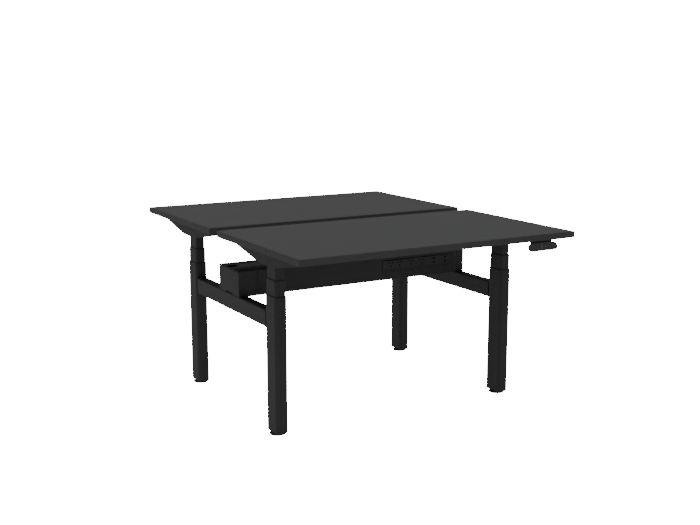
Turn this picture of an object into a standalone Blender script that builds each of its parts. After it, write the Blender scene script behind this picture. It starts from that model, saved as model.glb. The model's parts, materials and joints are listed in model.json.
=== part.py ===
"""A two-person height adjustable desk: two tops back to back, each on a pair of lifting columns,
over one shared base with a cable duct between its two end frames.

All sizes are in metres. X runs along the width of the tops, Y from the front user to the rear user,
Z up, and the origin is on the floor at the middle of the desk.
"""

import math

import bmesh
import bpy
from mathutils import Matrix

# Clearance between separate pieces that touch or run in each other.
GAP = 0.0003

# Tops.
TOP_WIDTH, TOP_DEPTH, TOP_THICKNESS = 1.200, 0.700, 0.025
TOP_HEIGHT = 0.732
CENTRE_GAP = 0.072
TOP_UNDERSIDE = TOP_HEIGHT - TOP_THICKNESS
TOP_CENTRE_Y = (CENTRE_GAP + TOP_DEPTH) / 2

# Lifting columns: three nested stages, the outer one at the bottom.
COLUMN_X, COLUMN_Y = 0.5155, 0.3815
OUTER_SECTION, MIDDLE_SECTION, INNER_SECTION = (0.050, 0.088), (0.044, 0.082), (0.038, 0.076)
OUTER_RADIUS, MIDDLE_RADIUS, INNER_RADIUS = 0.012, 0.0095, 0.0075
OUTER_WALL, STAGE_WALL = 0.0020, 0.0018
OUTER_BOTTOM, OUTER_TOP = 0.0115, 0.5300
MIDDLE_BOTTOM, MIDDLE_TOP = 0.0700, 0.5910
INNER_BOTTOM = 0.1275
COLLAR_HEIGHT = 0.0040
FOOT_PLATE = 0.0040

# Levelling feet.
FOOT_RADIUS, FOOT_PAD = 0.032, 0.0075
STUD_RADIUS, STUD_TOP = 0.005, 0.034

# End frames: the tube that joins the front and rear columns at each end.
CROSSBAR_SECTION = (0.044, 0.0655)
CROSSBAR_TOP = 0.4705
CROSSBAR_WALL = 0.002

# Cable duct.
DUCT_HALF_WIDTH, DUCT_TOP, DUCT_WALL = 0.0975, 0.575, 0.0015
DUCT_END = 0.537
END_BOX_LENGTH, END_CAP_LENGTH = 0.081, 0.037
LID_THICKNESS, LID_MARGIN, LIP = 0.0020, 0.0015, 0.014
SLOT_CENTRE, SLOT_SIZE = (-0.5135, 0.018), (0.042, 0.036)
NOTCH_WIDTH, NOTCH_HEIGHT = 0.064, 0.006
OUTLET_X, OUTLET_Z = (0.113, 0.468), (0.508, 0.561)
OUTLET_DEPTH, OUTLET_RECESS, OUTLET_RIM = 0.038, 0.0035, 0.005
POWER_OUTLETS_X, DATA_OUTLETS_X = (0.162, 0.207, 0.263, 0.319), (0.381, 0.439)
POWER_FACE, DATA_FACE = (0.038, 0.034), (0.026, 0.034)

# Under each top.
# A support arm's side view: level under its column, then rising to a long tip towards +Y and a
# short one towards -Y. Each tip is (distance from the column, height of its underside).
ARM_WIDTH, ARM_WALL, ARM_BOTTOM = 0.050, 0.003, 0.643
ARM_LEVEL = (-0.040, 0.088)
ARM_LONG_TIP, ARM_SHORT_TIP = (0.325, 0.688), (-0.235, 0.681)
SPINDLE_RADIUS, SPINDLE_BOTTOM = 0.007, 0.132
GEARBOX_SIZE = (0.040, 0.056, 0.058)
MOTOR_RADIUS, MOTOR_LENGTH = 0.018, 0.136
RAIL_SECTION, RAIL_WALL = (0.050, 0.028), 0.002
CONTROL_BOX_SIZE = (0.260, 0.090, 0.036)
CONTROL_BOX_PLACE = (-0.060, -0.255)

# Handset: a bar with round ends and a steep face, on a block under the front edge of the top.
# Its own X runs along the bar, Y up its face from the top edge, Z out of the face.
HANDSET_PLACE = (0.4385, -0.738, 0.702)
HANDSET_TILT = math.radians(60)
HANDSET_SIZE = (0.137, 0.031, 0.013)
HANDSET_CORNER, HANDSET_FACE_EDGE, HANDSET_BACK_EDGE = 0.015, 0.0025, 0.0050
BLOCK_X, BLOCK_WIDTH = 0.005, 0.090
BLOCK_FRONT, BLOCK_BACK, BLOCK_BOTTOM = -0.735, -0.711, 0.689
BUTTON_SIZE, BUTTON_CORNER = (0.0120, 0.0130), 0.003
BUTTON_HEIGHT, BUTTON_PROUD, BUTTON_TRAVEL = 0.0030, 0.0009, 0.0012
BUTTON_ROW, BUTTON_START, BUTTON_PITCH = -0.0160, 0.009, 0.016
BUTTONS = ("up", "down", "memory_1", "memory_2")

# Colours of the finishes: linear red, green, blue; roughness; metallic.
FINISHES = {
    "top_laminate": ((0.066, 0.066, 0.068), 0.55, 0.0),
    "powder_coat": ((0.024, 0.024, 0.026), 0.50, 0.3),
    "black_plastic": ((0.018, 0.018, 0.019), 0.45, 0.0),
    "motor_housing": ((0.020, 0.020, 0.021), 0.40, 0.3),
    "zinc_steel": ((0.45, 0.45, 0.47), 0.35, 1.0),
    "foot_plastic": ((0.015, 0.015, 0.015), 0.60, 0.0),
    "key_plastic": ((0.10, 0.10, 0.105), 0.40, 0.0),
}

ARC_STEPS = 4
TURNED_STEPS = 24
SIDES = {-1: "left", 1: "right"}


def clear_scene():
    for item in list(bpy.data.objects):
        bpy.data.objects.remove(item, do_unlink=True)


def new_collection(name):
    collection = bpy.data.collections.new(name)
    bpy.context.scene.collection.children.link(collection)
    return collection


clear_scene()
PARTS = new_collection("standing_desk")
CUTTERS = new_collection("cutters")


def finish_material(node, finish):
    """Each piece has its own material, with the values of its finish."""
    colour, roughness, metallic = FINISHES[finish]
    material = bpy.data.materials.new(f"{node}_{finish}")
    material.use_nodes = True
    shader = material.node_tree.nodes["Principled BSDF"]
    shader.inputs["Base Color"].default_value = (*colour, 1.0)
    shader.inputs["Roughness"].default_value = roughness
    shader.inputs["Metallic"].default_value = metallic
    material.diffuse_color = (*colour, 1.0)
    return material


def place(node, data, finish, location=(0, 0, 0), rotation=(0, 0, 0), parent=None):
    """One named piece: an object in the parts collection with a material of its own."""
    piece = bpy.data.objects.new(node, data)
    PARTS.objects.link(piece)
    piece.location = location
    piece.rotation_euler = rotation
    piece.parent = parent
    if not data.materials:
        data.materials.append(None)
    piece.material_slots[0].link = "OBJECT"
    piece.material_slots[0].material = finish_material(node, finish)
    return piece


def rounded_outline(width, depth, radius, steps=ARC_STEPS):
    """The corner points of a rectangle with round corners, anticlockwise, about its centre."""
    points = []
    for quarter, (sx, sy) in enumerate(((1, 1), (-1, 1), (-1, -1), (1, -1))):
        for step in range(steps + 1):
            angle = math.radians(90) * (quarter + step / steps)
            points.append(
                (
                    sx * (width / 2 - radius) + radius * math.cos(angle),
                    sy * (depth / 2 - radius) + radius * math.sin(angle),
                )
            )
    return points


def flat_curve(name, outlines, thickness):
    """A filled flat outline of this thickness, centred on its plane; inner outlines are holes."""
    curve = bpy.data.curves.new(name, "CURVE")
    curve.dimensions = "2D"
    curve.fill_mode = "BOTH"
    curve.extrude = thickness / 2
    for outline in outlines:
        spline = curve.splines.new("POLY")
        spline.points.add(len(outline) - 1)
        for point, (x, y) in zip(spline.points, outline):
            point.co = (x, y, 0, 1)
        spline.use_cyclic_u = True
    return curve


def solid_mesh(name, outlines, thickness, turn=None):
    """The same shape as a welded mesh, turned by a matrix, for a piece that is cut or joined."""
    source = bpy.data.objects.new(name, flat_curve(name, outlines, thickness))
    PARTS.objects.link(source)
    graph = bpy.context.evaluated_depsgraph_get()
    mesh = bpy.data.meshes.new_from_object(source.evaluated_get(graph))
    curve = source.data
    bpy.data.objects.remove(source)
    bpy.data.curves.remove(curve)
    shape = bmesh.new()
    shape.from_mesh(mesh)
    bmesh.ops.remove_doubles(shape, verts=shape.verts, dist=1e-5)
    if turn:
        bmesh.ops.transform(shape, matrix=turn, verts=shape.verts)
    bmesh.ops.recalc_face_normals(shape, faces=shape.faces)
    shape.to_mesh(mesh)
    shape.free()
    return mesh


def box_mesh(name, size, centre=(0, 0, 0), bevel=0.0, segments=1, only=None):
    """A cube primitive of this size; bevel rounds its edges, or those that only() picks."""
    shape = bmesh.new()
    bmesh.ops.create_cube(shape, size=1)
    bmesh.ops.scale(shape, vec=size, verts=shape.verts)
    if bevel:
        edges = [edge for edge in shape.edges if only is None or only(edge)]
        bmesh.ops.bevel(shape, geom=edges, offset=bevel, segments=segments, profile=0.5, affect="EDGES")
    bmesh.ops.translate(shape, vec=centre, verts=shape.verts)
    mesh = bpy.data.meshes.new(name)
    shape.to_mesh(mesh)
    shape.free()
    return mesh


def cylinder_mesh(name, radius, length, turn=None, segments=TURNED_STEPS):
    shape = bmesh.new()
    bmesh.ops.create_cone(
        shape, cap_ends=True, segments=segments, radius1=radius, radius2=radius, depth=length
    )
    if turn:
        bmesh.ops.transform(shape, matrix=turn, verts=shape.verts)
    mesh = bpy.data.meshes.new(name)
    shape.to_mesh(mesh)
    shape.free()
    return mesh


def upright_edge(edge):
    across = edge.verts[0].co - edge.verts[1].co
    return abs(across.x) < 1e-6 and abs(across.y) < 1e-6


def helper(name, mesh):
    """A cutter, or a shape that is joined to a piece: drawn as wire, never a piece of its own."""
    item = bpy.data.objects.new(name, mesh)
    CUTTERS.objects.link(item)
    item.hide_render = True
    item.display_type = "WIRE"
    return item


def combined(name, mesh, steps):
    """The mesh after Boolean steps, each an operation and the mesh it takes, in order."""
    base = bpy.data.objects.new(name, mesh)
    PARTS.objects.link(base)
    for number, (operation, other) in enumerate(steps):
        modifier = base.modifiers.new(f"{operation.lower()}_{number}", "BOOLEAN")
        modifier.operation = operation
        modifier.solver = "EXACT"
        modifier.object = helper(f"{name}_{operation.lower()}_{number}", other)
    bpy.context.view_layer.update()
    graph = bpy.context.evaluated_depsgraph_get()
    result = bpy.data.meshes.new_from_object(base.evaluated_get(graph))
    result.name = name
    bpy.data.objects.remove(base)
    return result


def turned_mesh(name, profile):
    """A profile of (radius, height) points from top to bottom, turned about Z."""
    shape = bmesh.new()
    corners = [shape.verts.new((radius, 0, height)) for radius, height in profile]
    for upper, lower in zip(corners, corners[1:]):
        shape.edges.new((upper, lower))
    mesh = bpy.data.meshes.new(name)
    shape.to_mesh(mesh)
    shape.free()
    source = bpy.data.objects.new(name, mesh)
    PARTS.objects.link(source)
    screw = source.modifiers.new("turn", "SCREW")
    screw.steps = screw.render_steps = TURNED_STEPS
    screw.use_merge_vertices = True
    screw.merge_threshold = 1e-5
    graph = bpy.context.evaluated_depsgraph_get()
    result = bpy.data.meshes.new_from_object(source.evaluated_get(graph))
    bpy.data.objects.remove(source)
    result.shade_smooth()
    result.set_sharp_from_angle(angle=math.radians(35))
    return result


def shaded(mesh):
    mesh.shade_smooth()
    mesh.set_sharp_from_angle(angle=math.radians(35))
    return mesh


def column_points():
    """(side, end, x, y) of each column; side -1 is left, end -1 is front."""
    for end in (-1, 1):
        for side in (-1, 1):
            yield side, end, side * COLUMN_X, end * COLUMN_Y


def column_name(side, end):
    return f"{'front' if end < 0 else 'rear'}_{SIDES[side]}"


def stage_tube_curve(name, section, radius, wall, length):
    width, depth = section
    outer = rounded_outline(width, depth, radius)
    inner = rounded_outline(width - 2 * wall, depth - 2 * wall, radius - wall)
    return flat_curve(name, (outer, inner), length)


def outer_tube_mesh():
    """The bottom stage: a rectangular tube with a welded foot plate that takes the levelling stud."""
    width, depth = OUTER_SECTION
    length = OUTER_TOP - OUTER_BOTTOM
    outside = solid_mesh("outer_tube", [rounded_outline(width, depth, OUTER_RADIUS)], length)
    bore_outline = rounded_outline(
        width - 2 * OUTER_WALL, depth - 2 * OUTER_WALL, OUTER_RADIUS - OUTER_WALL
    )
    raised = Matrix.Translation((0, 0, FOOT_PLATE))
    bore = solid_mesh("outer_tube_bore", [bore_outline], length, raised)
    stud_hole = cylinder_mesh(
        "stud_hole", STUD_RADIUS + GAP, 4 * FOOT_PLATE, Matrix.Translation((0, 0, -length / 2))
    )
    return shaded(combined("outer_tube", outside, [("DIFFERENCE", bore), ("DIFFERENCE", stud_hole)]))


def foot_mesh():
    boss_radius = 0.013
    profile = (
        (0, STUD_TOP),
        (STUD_RADIUS - 0.001, STUD_TOP),
        (STUD_RADIUS, STUD_TOP - 0.001),
        (STUD_RADIUS, OUTER_BOTTOM - GAP),
        (boss_radius, OUTER_BOTTOM - GAP),
        (boss_radius, FOOT_PAD + 0.001),
        (FOOT_RADIUS - 0.004, FOOT_PAD),
        (FOOT_RADIUS - 0.001, FOOT_PAD - 0.0012),
        (FOOT_RADIUS, FOOT_PAD - 0.003),
        (FOOT_RADIUS, 0.001),
        (FOOT_RADIUS - 0.001, 0),
        (0, 0),
    )
    return turned_mesh("levelling_foot", profile)


def collar_curve(name, outside, radius, inside, inside_radius):
    """The plastic guide ring on a stage's mouth, flush outside and clear of the stage inside it."""
    outer = rounded_outline(*outside, radius)
    inner = rounded_outline(inside[0] + 2 * GAP, inside[1] + 2 * GAP, inside_radius + GAP)
    return flat_curve(name, (outer, inner), COLLAR_HEIGHT)


def build_columns():
    tube = outer_tube_mesh()
    foot = foot_mesh()
    outer_collar = collar_curve(
        "outer_collar", OUTER_SECTION, OUTER_RADIUS, MIDDLE_SECTION, MIDDLE_RADIUS
    )
    middle_collar = collar_curve(
        "middle_collar", MIDDLE_SECTION, MIDDLE_RADIUS, INNER_SECTION, INNER_RADIUS
    )
    middle = stage_tube_curve(
        "middle_tube", MIDDLE_SECTION, MIDDLE_RADIUS, STAGE_WALL, MIDDLE_TOP - MIDDLE_BOTTOM
    )
    inner_top = ARM_BOTTOM - GAP
    inner = stage_tube_curve(
        "inner_tube", INNER_SECTION, INNER_RADIUS, STAGE_WALL, inner_top - INNER_BOTTOM
    )
    for side, end, x, y in column_points():
        name = column_name(side, end)
        place(f"{name}_outer_tube", tube, "powder_coat", (x, y, (OUTER_BOTTOM + OUTER_TOP) / 2))
        place(f"{name}_outer_collar", outer_collar, "black_plastic", (x, y, collar_centre(OUTER_TOP)))
        place(f"{name}_levelling_foot", foot, "foot_plastic", (x, y, 0))
        place(f"{name}_middle_tube", middle, "powder_coat", (x, y, (MIDDLE_BOTTOM + MIDDLE_TOP) / 2))
        place(f"{name}_middle_collar", middle_collar, "black_plastic", (x, y, collar_centre(MIDDLE_TOP)))
        place(f"{name}_inner_tube", inner, "powder_coat", (x, y, (INNER_BOTTOM + inner_top) / 2))


def collar_centre(tube_top):
    return tube_top + GAP + COLLAR_HEIGHT / 2


def build_crossbars():
    """A rectangular tube between the front and rear outer tubes at each end of the base."""
    width, height = CROSSBAR_SECTION
    corner = 0.004
    outer = rounded_outline(width, height, corner, steps=2)
    inner = rounded_outline(
        width - 2 * CROSSBAR_WALL, height - 2 * CROSSBAR_WALL, corner - CROSSBAR_WALL, steps=2
    )
    length = 2 * (COLUMN_Y - OUTER_SECTION[1] / 2 - GAP)
    bar = flat_curve("crossbar", (outer, inner), length)
    for side, name in SIDES.items():
        place(
            f"{name}_crossbar",
            bar,
            "powder_coat",
            (side * COLUMN_X, 0, CROSSBAR_TOP - height / 2),
            (math.radians(90), 0, 0),
        )


def duct_span():
    """The X ends of the duct's middle length, between its two end pieces."""
    return -DUCT_END + END_BOX_LENGTH + GAP, DUCT_END - END_CAP_LENGTH - GAP


def duct_outline():
    """A trough with two lips that carry the lid, in (Y, Z) about the base of the duct."""
    half, wall = DUCT_HALF_WIDTH, DUCT_WALL
    height = DUCT_TOP - LID_THICKNESS - GAP - CROSSBAR_TOP - GAP
    right_half = (
        (half, 0),
        (half, height),
        (half - LIP, height),
        (half - LIP, height - wall),
        (half - wall, height - wall),
        (half - wall, wall),
    )
    return [*right_half, *((-y, z) for y, z in reversed(right_half))]


def along_x(x, base):
    """Turns a flat (Y, Z) outline that was extruded about its plane so that it runs along X."""
    upright = Matrix(((0, 0, 1, 0), (1, 0, 0, 0), (0, 1, 0, 0), (0, 0, 0, 1)))
    return Matrix.Translation((x, 0, base)) @ upright


def build_duct():
    start, finish = duct_span()
    base = CROSSBAR_TOP + GAP
    tray = solid_mesh(
        "duct_tray", [duct_outline()], finish - start, along_x((start + finish) / 2, base)
    )
    (x0, x1), (z0, z1) = OUTLET_X, OUTLET_Z
    window_centre = ((x0 + x1) / 2, 0, (z0 + z1) / 2)
    windows = box_mesh("outlet_windows", (x1 - x0, 3 * DUCT_HALF_WIDTH, z1 - z0), window_centre)
    place("duct_tray", combined("duct_tray", tray, [("DIFFERENCE", windows)]), "powder_coat")
    build_duct_ends(base)
    build_duct_lid()
    for end in (-1, 1):
        name = "front" if end < 0 else "rear"
        place(f"{name}_outlet_strip", outlet_strip_mesh(name, end), "black_plastic")


def end_piece_mesh(name, side, length, base):
    """A sheet box that closes one end of the trough: open on top and towards the trough."""
    height = DUCT_TOP - LID_THICKNESS - GAP - base
    size = (length, 2 * DUCT_HALF_WIDTH, height)
    centre = (side * (DUCT_END - length / 2), 0, base + height / 2)
    outside = box_mesh(name, size, centre, 0.003, 2, upright_edge)
    wall = 2 * DUCT_WALL
    inside_size = (length, size[1] - 2 * wall, height)
    inside_centre = (centre[0] - side * wall, 0, centre[2] + wall)
    inside = box_mesh(f"{name}_inside", inside_size, inside_centre)
    notch = box_mesh(
        f"{name}_notch",
        (4 * wall, NOTCH_WIDTH, 2 * NOTCH_HEIGHT),
        (side * DUCT_END, 0, base),
    )
    return combined(name, outside, [("DIFFERENCE", inside), ("DIFFERENCE", notch)])


def build_duct_ends(base):
    left = end_piece_mesh("left_end_box", -1, END_BOX_LENGTH, base)
    right = end_piece_mesh("right_end_cap", 1, END_CAP_LENGTH, base)
    place("duct_left_end_box", left, "powder_coat")
    place("duct_right_end_cap", right, "powder_coat")


def build_duct_lid():
    size = (2 * DUCT_END, 2 * (DUCT_HALF_WIDTH - LID_MARGIN), LID_THICKNESS)
    centre = (0, 0, DUCT_TOP - LID_THICKNESS / 2)
    plate = box_mesh("duct_lid", size, centre)
    slot = box_mesh("cable_slot", (*SLOT_SIZE, 4 * LID_THICKNESS), (*SLOT_CENTRE, centre[2]))
    place("duct_lid", combined("duct_lid", plate, [("DIFFERENCE", slot)]), "powder_coat")


def outlet_strip_mesh(name, end):
    """A long socket housing set in the duct's wall: a recessed tray with a raised face per outlet."""
    (x0, x1), (z0, z1) = OUTLET_X, OUTLET_Z
    rim_y = DUCT_HALF_WIDTH - 0.001
    length, height = x1 - x0 - 2 * GAP, z1 - z0 - 2 * GAP
    middle_x, middle_z = (x0 + x1) / 2, (z0 + z1) / 2
    body = box_mesh(
        f"{name}_strip",
        (length, OUTLET_DEPTH, height),
        (middle_x, end * (rim_y - OUTLET_DEPTH / 2), middle_z),
    )
    recess = box_mesh(
        f"{name}_recess",
        (length - 2 * OUTLET_RIM, 2 * OUTLET_RECESS, height - 2 * OUTLET_RIM),
        (middle_x, end * rim_y, middle_z),
    )
    steps = [("DIFFERENCE", recess)]
    floor_y = rim_y - OUTLET_RECESS
    for size, places in ((POWER_FACE, POWER_OUTLETS_X), (DATA_FACE, DATA_OUTLETS_X)):
        for x in places:
            face_centre = (x, end * (floor_y - 0.0015), middle_z)
            face = box_mesh(f"{name}_outlet", (size[0], 0.006, size[1]), face_centre)
            steps.append(("UNION", face))
    return combined(f"{name}_outlet_strip", body, steps)


def arm_outline(inset):
    """A support arm's side view in (Y, Z); inset gives the hollow inside its walls."""
    outline = []
    for tip, level in ((ARM_LONG_TIP, ARM_LEVEL[1]), (ARM_SHORT_TIP, ARM_LEVEL[0])):
        reach, height = tip
        slope = (height - ARM_BOTTOM) / (reach - level)
        inner_reach = reach - math.copysign(inset, reach)
        inner_height = height + inset + slope * (inner_reach - reach)
        outline.append([(level, ARM_BOTTOM + inset), (inner_reach, inner_height)])
    top = TOP_UNDERSIDE - GAP + (0.01 if inset else 0)
    (long_level, long_tip), (short_level, short_tip) = outline
    return [long_level, long_tip, (long_tip[0], top), (short_tip[0], top), short_tip, short_level]


def arm_mesh():
    """A pressed arm, open on top, whose floor lets the spindle through into the column."""
    outside = solid_mesh("support_arm", [arm_outline(0)], ARM_WIDTH, along_x(0, 0))
    inside = solid_mesh(
        "support_arm_inside",
        [arm_outline(ARM_WALL)],
        ARM_WIDTH - 2 * ARM_WALL,
        along_x(0, 0),
    )
    hole = cylinder_mesh(
        "spindle_hole",
        SPINDLE_RADIUS + 0.003,
        4 * ARM_WALL,
        Matrix.Translation((0, 0, ARM_BOTTOM)),
    )
    return combined("support_arm", outside, [("DIFFERENCE", inside), ("DIFFERENCE", hole)])


def gear_motor_mesh():
    """A gearbox over the column with its motor lying along the long side of the arm."""
    floor = ARM_BOTTOM + ARM_WALL + 0.001
    box = box_mesh(
        "gearbox", GEARBOX_SIZE, (0, 0, floor + GEARBOX_SIZE[2] / 2), 0.003, 1
    )
    motor_middle = GEARBOX_SIZE[1] / 2 - 0.004 + MOTOR_LENGTH / 2
    axis_height = TOP_UNDERSIDE - 0.003 - MOTOR_RADIUS
    lying = Matrix.Translation((0, motor_middle, axis_height)) @ Matrix.Rotation(math.radians(90), 4, "X")
    motor = cylinder_mesh("motor", MOTOR_RADIUS, MOTOR_LENGTH, lying, segments=20)
    return combined("gear_motor", box, [("UNION", motor)])


def spindle_mesh():
    """The lead screw, with its turned-down neck in the gearbox."""
    top = ARM_BOTTOM + ARM_WALL + 0.001 - GAP
    neck = ARM_BOTTOM - 0.012
    profile = (
        (0, top),
        (SPINDLE_RADIUS - 0.002, top),
        (SPINDLE_RADIUS - 0.002, neck),
        (SPINDLE_RADIUS, neck - 0.002),
        (SPINDLE_RADIUS, SPINDLE_BOTTOM + 0.002),
        (SPINDLE_RADIUS - 0.002, SPINDLE_BOTTOM),
        (0, SPINDLE_BOTTOM),
    )
    return turned_mesh("spindle", profile)


def build_support_arms():
    """Over each column: its arm, drive and spindle. All four arms point the same way."""
    arm = arm_mesh()
    motor = gear_motor_mesh()
    spindle = spindle_mesh()
    for side, end, x, y in column_points():
        name = column_name(side, end)
        place(f"{name}_support_arm", arm, "powder_coat", (x, y, 0))
        place(f"{name}_gear_motor", motor, "motor_housing", (x, y, 0))
        place(f"{name}_spindle", spindle, "zinc_steel", (x, y, 0))


def rail_curve():
    width, height = RAIL_SECTION
    outer = rounded_outline(width, height, 0.003, steps=1)
    inner = rounded_outline(width - 2 * RAIL_WALL, height - 2 * RAIL_WALL, 0.001, steps=1)
    length = 2 * (COLUMN_X - ARM_WIDTH / 2 - GAP)
    return flat_curve("top_rail", (outer, inner), length)


def new_frame(name, location=(0, 0, 0), rotation=(0, 0, 0), parent=None):
    frame = bpy.data.objects.new(name, None)
    PARTS.objects.link(frame)
    frame.location = location
    frame.rotation_euler = rotation
    frame.parent = parent
    return frame


def build_desks():
    """Both desks are the same; the rear one is the front one turned half round."""
    shapes = {
        "top": box_mesh("desk_top", (TOP_WIDTH, TOP_DEPTH, TOP_THICKNESS), (0, 0, 0), 0.0015, 2),
        "rail": rail_curve(),
        "control_box": box_mesh("control_box", CONTROL_BOX_SIZE, (0, 0, 0), 0.004, 2),
        "handset": handset_mesh(),
        "button": shaded(button_mesh()),
    }
    for name, turn in (("front", 0), ("rear", math.pi)):
        frame = new_frame(f"{name}_desk_frame", rotation=(0, 0, turn))
        build_desk(name, frame, shapes)


def build_desk(name, frame, shapes):
    """One desk in the front desk's own coordinates; only a rear frame turns it round."""
    place(
        f"{name}_top", shapes["top"], "top_laminate",
        (0, -TOP_CENTRE_Y, TOP_HEIGHT - TOP_THICKNESS / 2), parent=frame,
    )
    rail_height = TOP_UNDERSIDE - GAP - RAIL_SECTION[1] / 2
    place(
        f"{name}_top_rail", shapes["rail"], "powder_coat",
        (0, -COLUMN_Y, rail_height), (math.radians(90), 0, math.radians(90)), parent=frame,
    )
    box_height = TOP_UNDERSIDE - GAP - CONTROL_BOX_SIZE[2] / 2
    place(
        f"{name}_control_box", shapes["control_box"], "black_plastic",
        (*CONTROL_BOX_PLACE, box_height), parent=frame,
    )
    build_handset(name, frame, shapes)


def button_points():
    """(name, x, y) of each button on the handset's face."""
    for number, name in enumerate(BUTTONS):
        yield name, BUTTON_START + number * BUTTON_PITCH, BUTTON_ROW


def handset_mesh():
    """The bar with a pocket for each button, joined to the block that screws under the top."""
    width, height, thickness = HANDSET_SIZE
    outline = [(x, y - height / 2) for x, y in rounded_outline(width, height, HANDSET_CORNER, steps=6)]
    bar = solid_mesh("handset", [outline], thickness, Matrix.Translation((0, 0, -thickness / 2)))
    shape = bmesh.new()
    shape.from_mesh(bar)
    for depth, radius in ((0, HANDSET_FACE_EDGE), (-thickness, HANDSET_BACK_EDGE)):
        rim = [edge for edge in shape.edges if is_rim(edge, depth)]
        bmesh.ops.bevel(shape, geom=rim, offset=radius, segments=2, profile=0.5, affect="EDGES")
    shape.to_mesh(bar)
    shape.free()
    steps = [("UNION", handset_block_mesh())]
    pocket_outline = rounded_outline(
        BUTTON_SIZE[0] + 2 * GAP, BUTTON_SIZE[1] + 2 * GAP, BUTTON_CORNER + GAP, steps=3
    )
    pocket_depth = BUTTON_HEIGHT - BUTTON_PROUD + BUTTON_TRAVEL + GAP
    for _, x, y in button_points():
        pocket = solid_mesh("pocket", [pocket_outline], 2 * pocket_depth, Matrix.Translation((x, y, 0)))
        steps.append(("DIFFERENCE", pocket))
    return combined("handset", bar, steps)


def is_rim(edge, height):
    level = all(abs(vert.co.z - height) < 1e-6 for vert in edge.verts)
    return level and edge.calc_face_angle(0) > math.radians(60)


def handset_block_mesh():
    """The level block between the bar and the top, turned into the handset's own coordinates."""
    top = TOP_UNDERSIDE - GAP
    size = (BLOCK_WIDTH, BLOCK_BACK - BLOCK_FRONT, top - BLOCK_BOTTOM)
    centre = (
        BLOCK_X,
        (BLOCK_FRONT + BLOCK_BACK) / 2 - HANDSET_PLACE[1],
        (top + BLOCK_BOTTOM) / 2 - HANDSET_PLACE[2],
    )
    block = box_mesh("handset_block", size, centre)
    block.transform(Matrix.Rotation(-HANDSET_TILT, 4, "X"))
    return block


def button_mesh():
    """A key with its origin on the handset's face, on the axis it is pressed along."""
    middle = BUTTON_PROUD - BUTTON_HEIGHT / 2
    outline = rounded_outline(*BUTTON_SIZE, BUTTON_CORNER, steps=3)
    return solid_mesh("button", [outline], BUTTON_HEIGHT, Matrix.Translation((0, 0, middle)))


def build_handset(name, frame, shapes):
    slope = new_frame(f"{name}_handset_frame", HANDSET_PLACE, (HANDSET_TILT, 0, 0), frame)
    place(f"{name}_handset", shapes["handset"], "black_plastic", parent=slope)
    for button, x, y in button_points():
        place(f"{name}_{button}_button", shapes["button"], "key_plastic", (x, y, 0), parent=slope)


def main():
    build_columns()
    build_crossbars()
    build_duct()
    build_support_arms()
    build_desks()


main()
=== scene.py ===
"""The looks of a two-person height adjustable desk: the visible pieces and finishes that go round
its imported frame, and a plain studio to see it in. Lengths are in metres.
"""

import contextlib
import json
import math

import bmesh
import bpy
from bpy.props import FloatProperty, FloatVectorProperty, IntProperty, PointerProperty
from mathutils import Matrix, Vector


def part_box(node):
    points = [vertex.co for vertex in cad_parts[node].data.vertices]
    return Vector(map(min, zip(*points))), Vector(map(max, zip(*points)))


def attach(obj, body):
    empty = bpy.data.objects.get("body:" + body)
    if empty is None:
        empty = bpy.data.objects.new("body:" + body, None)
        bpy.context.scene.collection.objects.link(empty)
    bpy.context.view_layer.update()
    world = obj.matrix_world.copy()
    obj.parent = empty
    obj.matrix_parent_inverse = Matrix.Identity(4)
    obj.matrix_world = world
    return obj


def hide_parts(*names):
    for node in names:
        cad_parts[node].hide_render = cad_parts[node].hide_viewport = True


bl_info = {
    "name": "Height Adjustable Desk",
    "version": (1, 0, 0),
    "blender": (4, 5, 0),
    "location": "View3D > Sidebar > Desk",
    "description": "Builds the visible pieces and finishes of a two-person height adjustable desk",
    "category": "Object",
}

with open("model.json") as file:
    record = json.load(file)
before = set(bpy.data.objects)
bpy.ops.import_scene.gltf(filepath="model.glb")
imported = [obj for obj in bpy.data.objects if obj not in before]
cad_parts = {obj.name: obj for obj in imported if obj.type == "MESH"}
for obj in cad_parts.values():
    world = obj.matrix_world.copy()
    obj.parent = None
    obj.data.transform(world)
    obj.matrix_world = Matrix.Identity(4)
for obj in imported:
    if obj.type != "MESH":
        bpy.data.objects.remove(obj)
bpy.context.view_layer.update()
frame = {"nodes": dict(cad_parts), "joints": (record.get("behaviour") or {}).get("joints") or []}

ENDS = ("front", "rear")
SIDES = ("left", "right")
KEYS = ("up", "down", "memory_1", "memory_2")
COLUMNS = [(end, side) for end in ENDS for side in SIDES]

# What every colour property shares.
COLOUR = {"subtype": "COLOR", "size": 3, "min": 0, "max": 1}

# The glow of the floor and of the sky on the desk, and the far brighter one that only the camera
# sees, so that both look white.
FLOOR_GLOW, SKY_GLOW, BACKDROP = 0.64, 0.28, 30.0


class DeskSizes(bpy.types.PropertyGroup):
    band: FloatProperty(
        name="Edge band", description="Thickness of the plastic band round each board",
        default=0.002, unit="LENGTH",
    )
    arris: FloatProperty(
        name="Arris", description="Radius of the band's long corners", default=0.0015, unit="LENGTH"
    )
    tube_corner: FloatProperty(
        name="Tube corner", description="Corner radius of the outer column tube",
        default=0.012, unit="LENGTH",
    )
    corner_steps: IntProperty(
        name="Corner steps", description="Flat faces in each round corner of a column",
        default=8, min=2, max=16,
    )
    wall: FloatProperty(
        name="Tube wall", description="Wall thickness of the column tubes", default=0.002, unit="LENGTH"
    )
    crossbar_corner: FloatProperty(
        name="Crossbar corner", description="Corner radius of the crossbars",
        default=0.004, unit="LENGTH",
    )
    sheet_edge: FloatProperty(
        name="Sheet edge", description="Radius left on the edges of folded sheet metal",
        default=0.0005, unit="LENGTH",
    )


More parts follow.
